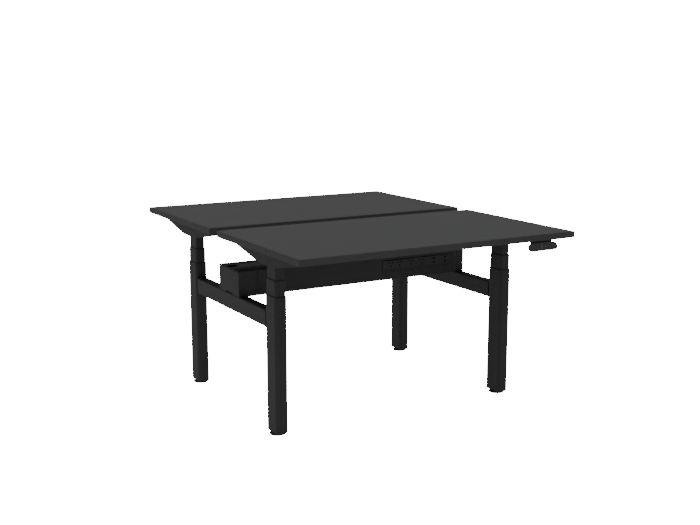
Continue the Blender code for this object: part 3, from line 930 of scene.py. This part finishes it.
class DESK_OT_duct(bpy.types.Operator):
    """The folded cable duct with its end pieces, lid, end flange, seals, a strip of painted shadow under the
    lid's left edge, slot trim and screws
    """

    bl_idname = "desk.duct"
    bl_label = "Cable duct"

    def execute(self, context):
        edge = context.scene.desk_sizes.sheet_edge
        for node in ("duct_tray", "duct_left_end_box", "duct_right_end_cap", "duct_lid"):
            shape = refined(node, edge)
            put(shape, f"{node}_sheet", Matrix(), "powder_coat", "base", "powder_coat", node)
            discard(shape)
        self.add_end_flange()
        self.add_seals()
        self.add_slot_trim()
        self.add_screws()
        return {"FINISHED"}

    def add_end_flange(self):
        """The turned-in flange that shows as a second layer on the left end."""
        low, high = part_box("duct_left_end_box")
        thickness, width, margin = 0.0007, 0.0665, 0.0006
        flange = start_box(
            "end_flange",
            (low.x - thickness, low.y + margin, low.z + 0.001),
            (low.x + thickness, low.y + width, high.z - 0.002),
        )
        with editing(flange):
            round_edges(is_corner, 0.0003, 2)
        shaded(flange)
        put(flange, "duct_left_end_flange", Matrix(), "powder_coat", "base", "powder_coat")
        discard(flange)

    def add_seals(self):
        """Black seals in the joint beside the left end box, and a near-black strip under the lid's left edge
        that paints the shadow of a gap there.
        """
        proud, half_width = 0.0004, 0.0011
        tray_low, tray_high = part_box("duct_tray")
        strips = {}
        for end, y in (("front", tray_low.y), ("rear", tray_high.y)):
            strips[f"{end}_joint_seal"] = (
                "black_plastic",
                (tray_low.x - half_width, y - proud, tray_low.z + 0.001),
                (tray_low.x + half_width, y + proud, tray_high.z),
            )
        box_low, box_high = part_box("duct_left_end_box")
        # A near-black strip under the lid's left edge: painted shadow of a gap.
        strips["left_lid_seal"] = (
            "rubber_and_painted_shade",
            (box_low.x - 2 * proud, box_low.y + 0.001, box_high.z - 0.0028),
            (box_low.x + proud, box_high.y - 0.001, box_high.z + 0.0002),
        )
        for name, (finish, low, high) in strips.items():
            seal = start_box(name, low, high)
            with editing(seal):
                round_edges(is_corner, 0.0002, 2)
            shaded(seal)
            put(seal, f"duct_{name}", Matrix(), finish, "base", "black_plastic")
            discard(seal)

    def add_slot_trim(self):
        """The rubber edge of the cable slot."""
        low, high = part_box("duct_lid")
        slot_low = Vector((SLOT_X[0], SLOT_Y[0], low.z))
        slot_high = Vector((SLOT_X[1], SLOT_Y[1], high.z))
        lip, height = 0.0018, 0.0007
        trim = slot_trim(slot_low, slot_high, lip, height)
        put(trim, "cable_slot_trim", Matrix(), "rubber_and_painted_shade", "base", "black_plastic")
        discard(trim)

    def add_screws(self):
        """Low-headed screws: beside the joints and under the outlets on both walls, and on the lid."""
        head_radius = 0.0042
        screw = button_screw(head_radius)
        tray_low, tray_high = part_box("duct_tray")
        from_joint, joint_z = 0.008, 0.489
        joint_x = (tray_low.x - from_joint, tray_low.x + from_joint, tray_high.x + from_joint)
        outlet_x, outlet_z = (0.274, 0.315), 0.495
        spots = [(x, joint_z) for x in joint_x] + [(x, outlet_z) for x in outlet_x]
        for end, side in (("front", -1), ("rear", 1)):
            facing = Matrix.Rotation(-side * math.pi / 2, 4, "X")
            wall = tray_low.y if side < 0 else tray_high.y
            for number, (x, z) in enumerate(spots, 1):
                place = at(x, wall, z) @ facing
                put(screw, f"duct_{end}_screw_{number}", place, "black_bolt", "base", "powder_coat")
        lid_low, lid_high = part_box("duct_lid")
        inset, inner_x = 0.012, 0.18
        for number, x in enumerate((lid_low.x + inset, -inner_x, inner_x, lid_high.x - inset), 1):
            for end, y in (("front", lid_low.y + inset), ("rear", lid_high.y - inset)):
                name = f"lid_{end}_screw_{number}"
                put(screw, name, at(x, y, lid_high.z), "black_bolt", "base", "powder_coat")
        discard(screw)


# ---------------------------------------------------------------- outlets

# Each kind of outlet: its width and height, and where it stands along the duct.
POWER_SIZE, POWER_X = (0.038, 0.034), (0.162, 0.207, 0.263, 0.319)
DATA_SIZE, DATA_X = (0.026, 0.034), (0.381, 0.439)


def outlet_housing(low, high, rim, depth):
    """A long tray that faces -Y: a rim round a recessed floor, with a deep gap left along the
    floor's top and left edges.
    """
    housing = start_box("outlet_housing", low, high)
    with editing(housing):
        pick("FACE", looks((0, -1, 0)))
        bpy.ops.mesh.inset(thickness=rim)
        push((0, depth, 0))
        round_edges(lies_at(1, low.y), 0.0008, 2)
    gap, gap_depth, gap_end = 0.0034, 0.020, 0.010
    inner_low, inner_high = low.x + rim, high.z - rim
    back = low.y + gap_depth
    top_gap = start_box("gap", (inner_low, low.y, inner_high - gap), (high.x - gap_end, back, inner_high))
    left_gap = start_box("gap", (inner_low, low.y, low.z + rim), (inner_low + gap, back, inner_high))
    cut(housing, top_gap, left_gap)
    return shaded(housing)


def rounded_plate(name, width, height, front, back, corner):
    """A plate that faces -Y with round corners and a soft front rim."""
    plate = start_box(name, (-width / 2, front, -height / 2), (width / 2, back, height / 2))
    with editing(plate):
        round_edges(runs(1), corner, 4)
        round_edges(lies_at(1, front), 0.0006, 2)
    return plate


def slot_cutter(x, z, width, height, depth):
    return start_box("slot", (x - width / 2, -depth, z - height / 2), (x + width / 2, depth, z + height / 2))


def slot_shadow_block(width, height, front):
    """A near-black block inside an outlet, seen at the bottom of its slots: painted shade in the slots."""
    margin, thickness = 0.004, 0.001
    half_x, half_z = width / 2 - margin, height / 2 - margin
    return start_box("slot_shadow_block", (-half_x, front, -half_z), (half_x, front + thickness, half_z))


def power_face(width, height, thickness):
    """A mains outlet: two level slots above an upright one, behind a shallow dish."""
    plate = rounded_plate("power_face", width, height, 0, thickness, 0.003)
    with editing(plate):
        pick("FACE", looks((0, -1, 0)))
        bpy.ops.mesh.inset(thickness=0.0022)
        push((0, 0.0004, 0))
    row, spread, depth = 0.0070, 0.0080, 0.7 * thickness
    cut(
        plate,
        slot_cutter(-spread, row, 0.0090, 0.0054, depth),
        slot_cutter(spread, row, 0.0090, 0.0054, depth),
        slot_cutter(0, -row, 0.0056, 0.0090, depth),
    )
    return shaded(plate, 35)


def data_face(width, height, thickness):
    """A data outlet: two jacks, each with a notch for its latch."""
    plate = rounded_plate("data_face", width, height, 0, thickness, 0.002)
    row, depth = 0.0082, 0.7 * thickness
    cutters = []
    for z in (-row, row):
        cutters.append(slot_cutter(0, z, 0.0118, 0.0084, depth))
        cutters.append(slot_cutter(0, z - 0.0048, 0.0050, 0.0030, depth))
    cut(plate, *cutters)
    return shaded(plate, 35)


class DESK_OT_outlets(bpy.types.Operator):
    """The strip of mains and data outlets in each side of the duct"""

    bl_idname = "desk.outlets"
    bl_label = "Outlets"

    def execute(self, context):
        low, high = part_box("front_outlet_strip")
        middle = (low + high) / 2
        rim, recess, thickness = 0.005, 0.0012, 0.0046
        centred = at(-middle.x, 0, -middle.z)
        housing = outlet_housing(centred @ low, centred @ high, rim, recess)
        power, data = power_face(*POWER_SIZE, thickness), data_face(*DATA_SIZE, thickness)
        slot_shadow_y = recess - 0.0004
        sizes = (POWER_SIZE, DATA_SIZE)
        power_slot_shadow, data_slot_shadow = (slot_shadow_block(*size, slot_shadow_y) for size in sizes)
        for end, turn in (("front", 0), ("rear", math.pi)):
            facing = Matrix.Rotation(turn, 4, "Z")
            strip = at(middle.x, 0, middle.z) @ facing
            put(
                housing, f"{end}_outlet_housing", strip, "outlet_plastic", "base", "black_plastic",
                f"{end}_outlet_strip",
            )
            kinds = ((power, power_slot_shadow, "power", POWER_X), (data, data_slot_shadow, "data", DATA_X))
            for face, slot_shadow, kind, places in kinds:
                for number, x in enumerate(places, 1):
                    place = at(x, 0, middle.z) @ facing @ at(0, low.y, 0)
                    name = f"{end}_{kind}_outlet_{number}"
                    put(face, name, place, "outlet_plastic", "base", "black_plastic")
                    # A near-black block behind each outlet's slots paints the shade inside them.
                    put(slot_shadow, f"{name}_contacts", place, "rubber_and_painted_shade", "base", "black_plastic")
        for master in (housing, power, data, power_slot_shadow, data_slot_shadow):
            discard(master)
        return {"FINISHED"}


# ---------------------------------------------------------------- under the tops


class DESK_OT_drives(bpy.types.Operator):
    """Support arms, and the finish of the rails, drives, spindles and control boxes"""

    bl_idname = "desk.drives"
    bl_label = "Arms and drives"

    def execute(self, context):
        edge = 0.0010
        arm = refined("front_left_support_arm", edge)
        start = column_at("front", "left").inverted()
        for end, side in COLUMNS:
            node = f"{end}_{side}_support_arm"
            place = column_at(end, side) @ start
            put(arm, f"{node}_pressing", place, "powder_coat", f"{end}_desk", "powder_coat", node)
        discard(arm)
        for end in ENDS:
            self.paint(f"{end}_top_rail", "powder_coat")
            self.paint(f"{end}_control_box", "black_plastic")
        for end, side in COLUMNS:
            self.paint(f"{end}_{side}_gear_motor", "motor_housing")
            self.paint(f"{end}_{side}_spindle", "zinc_plate")
        return {"FINISHED"}

    def paint(self, node, finish):
        for slot in frame["nodes"][node].material_slots:
            slot.material = finish_named(finish)


# ---------------------------------------------------------------- handsets

# From a key's own middle to the face of the handset, and from the first key to the bar's middle.
KEY_DEPTH = 0.0006
BAR_MIDDLE = (-0.009, 0.0005)
BAR_SIZE, BAR_THICKNESS, BAR_CORNER = (0.137, 0.031), 0.013, 0.015
KEY_PITCH, KEY_SIZE, KEY_CORNER = 0.016, (0.0120, 0.0130), 0.003
KEY_TOP, KEY_HEIGHT = 0.0009, 0.0030
# How far the marks lie under a key's rim, in its finger dish.
KEY_DISH = 0.00042


def handset_place(end):
    """The frame of a handset's face: its origin at the first key, X along the keys, Z out of the face."""
    press = next(j for j in frame["joints"] if j["name"] == f"{end}_up_press")
    outwards = -Vector(press["axis"]).normalized()
    first, last = middle_of(f"{end}_up_button"), middle_of(f"{end}_memory_2_button")
    along = (last - first).normalized()
    up = outwards.cross(along)
    origin = first + outwards * KEY_DEPTH
    return Matrix.Translation(origin) @ Matrix((along, up, outwards)).transposed().to_4x4()


def bar_shell(name, back, front, front_radius, back_radius):
    """One moulding of the bar, between two depths under its face."""
    x, y = BAR_MIDDLE
    half_x, half_y = BAR_SIZE[0] / 2, BAR_SIZE[1] / 2
    shell = start_box(name, (x - half_x, y - half_y, back), (x + half_x, y + half_y, front))
    with editing(shell):
        round_edges(runs(2), BAR_CORNER, 12)
        round_edges(lies_at(2, front), front_radius, 4)
        round_edges(lies_at(2, back), back_radius, 2)
    return shell


def rounded_block(name, centre, size, bottom, top, corner, rim):
    """A low block with round corners, lying on the face of the handset."""
    x, y = centre
    half_x, half_y = size[0] / 2, size[1] / 2
    block = start_box(name, (x - half_x, y - half_y, bottom), (x + half_x, y + half_y, top))
    with editing(block):
        round_edges(runs(2), corner, 5)
        if rim:
            round_edges(lies_at(2, top), rim, 3)
    return block


def key_cap():
    """A key with a soft rim and a finger dish."""
    rim = 0.0005
    key = rounded_block("key", (0, 0), KEY_SIZE, KEY_TOP - KEY_HEIGHT, KEY_TOP, KEY_CORNER, rim)
    with editing(key):
        pick("FACE", looks((0, 0, 1)))
        bpy.ops.mesh.inset(thickness=0.0014)
        bpy.ops.transform.translate(value=(0, 0, -0.00025))
        bpy.ops.mesh.inset(thickness=0.0012)
        bpy.ops.transform.translate(value=(0, 0, -0.00012))
    return shaded(key, 60)


def arrow_mark():
    """A flat triangle that points along +Y."""
    deselect_all()
    bpy.ops.mesh.primitive_circle_add(vertices=3, radius=0.0021, fill_type="NGON")
    mark = settle("arrow_mark")
    with editing(mark):
        bpy.ops.mesh.select_all(action="SELECT")
        bpy.ops.transform.resize(value=(1.0, 0.8, 1.0), center_override=(0, 0, 0))
        push((0, 0, 0.0002))
        face_outwards()
        round_edges(runs(2), 0.0003, 2)
    return shaded(mark)


class DESK_OT_handsets(bpy.types.Operator):
    """The height controls: two mouldings, mount, display, keys and their marks"""

    bl_idname = "desk.handsets"
    bl_label = "Handsets"

    def execute(self, context):
        masters = self.make_masters()
        for end in ENDS:
            self.assemble(end, masters)
        for master in masters.values():
            discard(master)
        return {"FINISHED"}

    def make_masters(self):
        joint, face_radius = -0.0080, 0.0025
        case = bar_shell("case", joint, 0, face_radius, 0.0003)
        display_middle, display_size = (-0.0445, 0.0008), (0.044, 0.0190)
        glass_gap, glass_depth = 0.0004, 0.0012
        window_size = (display_size[0] + glass_gap, display_size[1] + glass_gap)
        pocket = rounded_block("pocket", display_middle, window_size, -glass_depth, 0.001, 0.0030, 0)
        well_size = (KEY_SIZE[0] + glass_gap, KEY_SIZE[1] + glass_gap)
        well_depth = KEY_HEIGHT + 0.0015
        wells = [
            rounded_block("well", (number * KEY_PITCH, 0), well_size, -well_depth, 0.001, 0.0032, 0)
            for number in range(len(KEYS))
        ]
        cut(case, pocket, *wells)
        return {
            "case": shaded(case, 35),
            "back": shaded(bar_shell("back", -BAR_THICKNESS, joint - 0.0003, 0.0003, 0.0045), 35),
            "glass": shaded(
                rounded_block("glass", display_middle, display_size, -glass_depth, -0.0002, 0.0028, 0.0003)
            ),
            "glint_line": self.make_glint_line(),
            "key": key_cap(),
            "arrow": arrow_mark(),
            "dot": shaded(turned("dot_mark", [(0.00095, 0), (0.00095, 0.0001), (0.0008, 0.0002)], 20)),
            "mount": self.make_mount(),
        }

    def make_glint_line(self):
        """A slanting raised line between the display and the keys, in light grey ink: a painted highlight
        along the display's edge.
        """
        half_width, half_length, sunk, proud = 0.0005, 0.0125, 0.0002, 0.0003
        middle, slant = (-0.0175, 0.0005, 0), math.radians(-22)
        glint_line = start_box("glint_line", (-half_width, -half_length, -sunk), (half_width, half_length, proud))
        glint_line.data.transform(at(*middle) @ Matrix.Rotation(slant, 4, "Z"))
        with editing(glint_line):
            round_edges(is_corner, 0.00012, 2)
        return shaded(glint_line)

    def make_mount(self):
        """The block that screws under the board, in the front desk's own place. Its near-black finish paints
        the shadow in the gap under the board.
        """
        low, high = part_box("front_handset")
        shift, half_width, front, bottom = 0.005, 0.045, -0.735, 0.689
        middle = (low.x + high.x) / 2 + shift
        corners = (middle - half_width, front, bottom), (middle + half_width, high.y, high.z)
        mount = start_box("mount", *corners)
        with editing(mount):
            round_edges(runs(2), 0.004, 4)
            round_edges(lies_at(2, bottom), 0.0015, 3)
        return shaded(mount)

    def assemble(self, end, masters):
        body = f"{end}_desk"
        place = handset_place(end)
        plastic = ("black_plastic", body, "black_plastic")
        put(masters["case"], f"{end}_handset_case", place, *plastic, f"{end}_handset")
        put(masters["back"], f"{end}_handset_back", place, *plastic)
        # A light grey slanting line: a painted highlight along the display's edge.
        put(masters["glint_line"], f"{end}_handset_glint_line", place, "print_and_painted_highlight", body, "key_plastic")
        put(masters["glass"], f"{end}_display_window", place, "display_glass", body, "black_plastic")
        turn = Matrix() if end == "front" else Matrix.Rotation(math.pi, 4, "Z")
        # The mount's near-black finish is painted shadow in the gap under the board.
        put(masters["mount"], f"{end}_handset_mount", turn, "rubber_and_painted_shade", body, "black_plastic")
        for number, key in enumerate(KEYS):
            rides = f"{end}_{key}_key"
            spot = place @ at(number * KEY_PITCH, 0, 0)
            put(
                masters["key"], f"{end}_{key}_cap", spot, "key_plastic", rides, "key_plastic",
                f"{end}_{key}_button",
            )
            self.add_marks(end, key, spot @ at(0, 0, KEY_TOP - KEY_DISH), masters, rides)

    def add_marks(self, end, key, spot, masters, body):
        """An arrow for up and for down, and one or two dots for the two stored heights."""
        ink = ("print_and_painted_highlight", body, "key_plastic")
        if key in ("up", "down"):
            turn = Matrix() if key == "up" else Matrix.Rotation(math.pi, 4, "Z")
            put(masters["arrow"], f"{end}_{key}_mark", spot @ turn, *ink)
            return
        offsets = {"memory_1": (0,), "memory_2": (-0.0014, 0.0014)}[key]
        for number, x in enumerate(offsets, 1):
            put(masters["dot"], f"{end}_{key}_dot_{number}", spot @ at(x, 0, 0), *ink)


# ---------------------------------------------------------------- studio


class DESK_OT_studio(bpy.types.Operator):
    """Pale floor, soft light and the camera"""

    bl_idname = "desk.studio"
    bl_label = "Studio"

    def execute(self, context):
        self.add_floor()
        self.add_light(context)
        self.add_camera(context)
        return {"FINISHED"}

    def add_floor(self):
        deselect_all()
        bpy.ops.mesh.primitive_circle_add(vertices=96, radius=40, fill_type="NGON")
        floor = settle("floor")
        floor.data.materials.append(finish_named("studio_floor"))

    def add_light(self, context):
        world = bpy.data.worlds.new("studio")
        world.use_nodes = True
        context.scene.world = world
        nodes, links = world.node_tree.nodes, world.node_tree.links
        background = nodes["Background"]
        background.inputs["Color"].default_value = (1, 1, 1, 1)
        path = nodes.new("ShaderNodeLightPath")
        strength = nodes.new("ShaderNodeMapRange")
        strength.inputs["To Min"].default_value = SKY_GLOW
        strength.inputs["To Max"].default_value = BACKDROP
        links.new(path.outputs["Is Camera Ray"], strength.inputs["Value"])
        links.new(strength.outputs["Result"], background.inputs["Strength"])
        key = bpy.data.lights.new("key", "SUN")
        key.energy, key.angle = 2.0, math.radians(35)
        lamp = bpy.data.objects.new("key", key)
        towards_light = Vector((-0.06, -0.10, 1.0))
        lamp.rotation_euler = towards_light.to_track_quat("Z", "Y").to_euler()
        context.scene.collection.objects.link(lamp)

    def add_camera(self, context):
        camera = bpy.data.cameras.new("camera")
        camera.sensor_width = 36
        camera.lens = 54.775
        eye = bpy.data.objects.new("camera", camera)
        eye.location = (-2.1890, -3.8314, 1.3932)
        eye.rotation_euler = (math.radians(79.0943), 0, math.radians(-29.9519))
        context.scene.collection.objects.link(eye)
        context.scene.camera = eye


class DESK_PT_panel(bpy.types.Panel):
    """The desk's pieces, sizes and colours"""

    bl_idname = "DESK_PT_panel"
    bl_label = "Height Adjustable Desk"
    bl_space_type = "VIEW_3D"
    bl_region_type = "UI"
    bl_category = "Desk"

    def draw(self, context):
        column = self.layout.column(align=True)
        for operator in OPERATORS:
            column.operator(operator.bl_idname)
        for group in (context.scene.desk_sizes, context.scene.desk_colours):
            box = self.layout.box()
            for name in group.__annotations__:
                box.prop(group, name)


OPERATORS = (
    DESK_OT_tops,
    DESK_OT_columns,
    DESK_OT_feet,
    DESK_OT_crossbars,
    DESK_OT_duct,
    DESK_OT_outlets,
    DESK_OT_drives,
    DESK_OT_handsets,
    DESK_OT_studio,
)
CLASSES = (DeskSizes, DeskColours, *OPERATORS, DESK_PT_panel)


def register():
    for item in CLASSES:
        bpy.utils.register_class(item)
    bpy.types.Scene.desk_sizes = PointerProperty(type=DeskSizes)
    bpy.types.Scene.desk_colours = PointerProperty(type=DeskColours)


def unregister():
    del bpy.types.Scene.desk_colours
    del bpy.types.Scene.desk_sizes
    for item in reversed(CLASSES):
        bpy.utils.unregister_class(item)


def main():
    register()
    bpy.ops.desk.tops()
    bpy.ops.desk.columns()
    bpy.ops.desk.feet()
    bpy.ops.desk.crossbars()
    bpy.ops.desk.duct()
    bpy.ops.desk.outlets()
    bpy.ops.desk.drives()
    bpy.ops.desk.handsets()
    bpy.ops.desk.studio()


if __name__ == "__main__":
    main()
